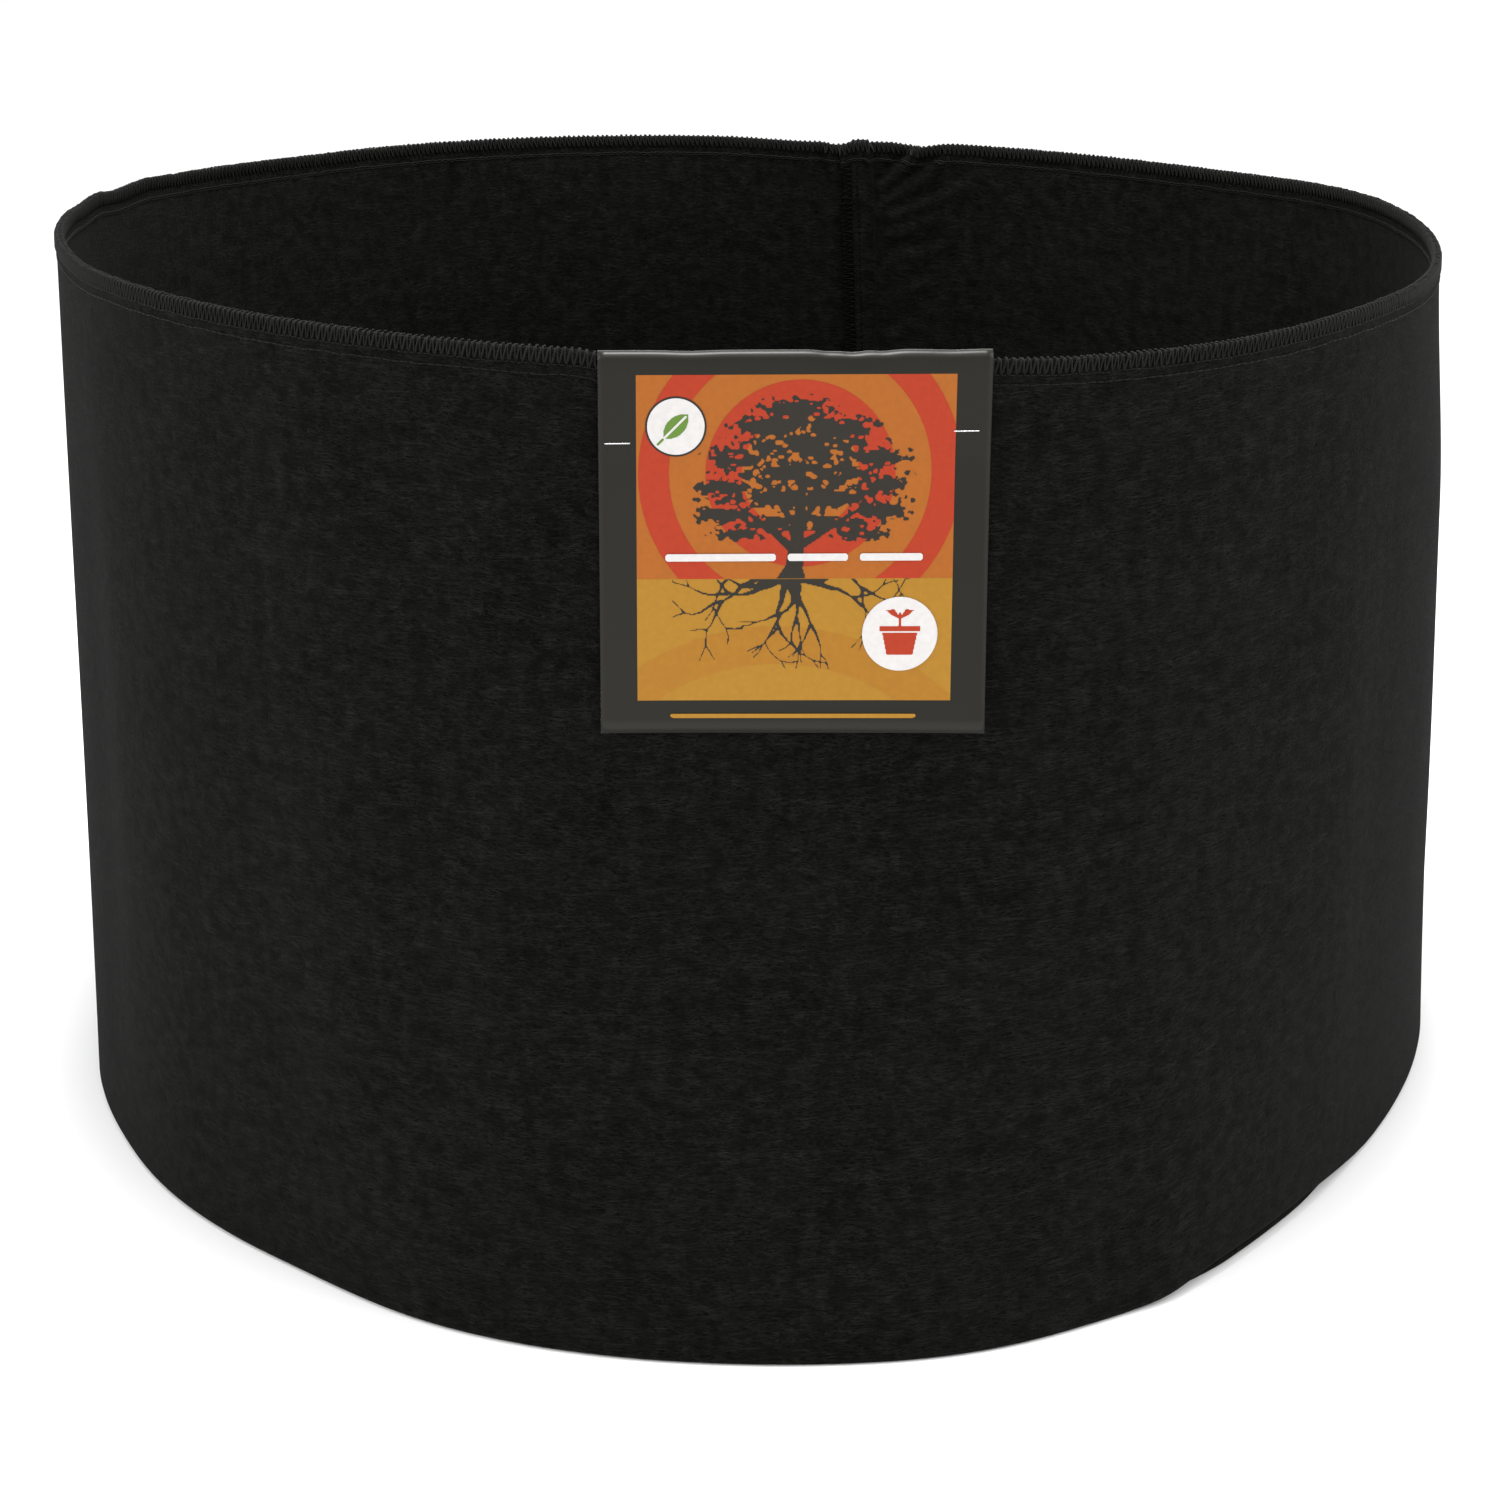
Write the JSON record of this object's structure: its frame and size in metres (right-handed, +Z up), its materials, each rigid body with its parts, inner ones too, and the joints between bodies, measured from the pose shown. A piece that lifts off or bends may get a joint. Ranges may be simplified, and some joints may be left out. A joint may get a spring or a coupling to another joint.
{
  "type": "fabric grow bag",
  "caption": "Round sewn felt planter bag with a flat base, overlocked rim and seams, and a folded card label stapled over the rim; its sides fold down.",
  "frame": {"origin": "centre of the underside of the base, on the surface that the bag stands on", "axes": "+Z up through the open top, -Y towards the side that carries the label, +X to the right as seen from in front of the label"},
  "size_m": [0.6118, 0.6108, 0.3908],
  "materials": {
    "felt": "needle-punched felt, charcoal black, matt and fuzzy",
    "thread": "black spun polyester thread",
    "card": "dark coated card, satin",
    "card_print": "coated card printed in orange, red and gold with a dark tree, satin",
    "staple": "bright galvanised wire"
  },
  "bodies": {
    "base": {"wall_panel": "felt", "base_panel": "felt", "side_overlock_upper_looper": "thread", "side_overlock_lower_looper": "thread", "side_overlock_needle_thread": "thread", "side_chain_needle_thread": "thread", "side_chain_looper_thread": "thread", "base_overlock_upper_looper": "thread", "base_overlock_lower_looper": "thread", "base_overlock_needle_thread": "thread", "base_chain_needle_thread": "thread", "base_chain_looper_thread": "thread"},
    "rim": {"rim_overlock_upper_looper": "thread", "rim_overlock_lower_looper": "thread", "rim_overlock_needle_thread": "thread", "rim_chain_needle_thread": "thread", "rim_chain_looper_thread": "thread", "label_header": "card", "staple_left": "staple", "staple_right": "staple"},
    "front_flap": {"label_front_flap": "card_print"},
    "rear_flap": {"label_rear_flap": "card"}
  },
  "joints": [
    {"name": "rim_drop", "type": "slide", "parent": "base", "child": "rim", "axis": [0, 0, -1], "range_m": [0, 0.15], "deforming": ["wall_panel", "side_overlock_upper_looper", "side_overlock_lower_looper", "side_overlock_needle_thread", "side_chain_needle_thread", "side_chain_looper_thread"]},
    {"name": "label_front_lift", "type": "hinge", "parent": "rim", "child": "front_flap", "pos_m": [0, -0.2959, 0.35295], "axis": [-1, 0, 0], "range_deg": [0, 45]},
    {"name": "label_rear_lift", "type": "hinge", "parent": "rim", "child": "rear_flap", "pos_m": [0, -0.2899, 0.35295], "axis": [1, 0, 0], "range_deg": [0, 45]}
  ]
}
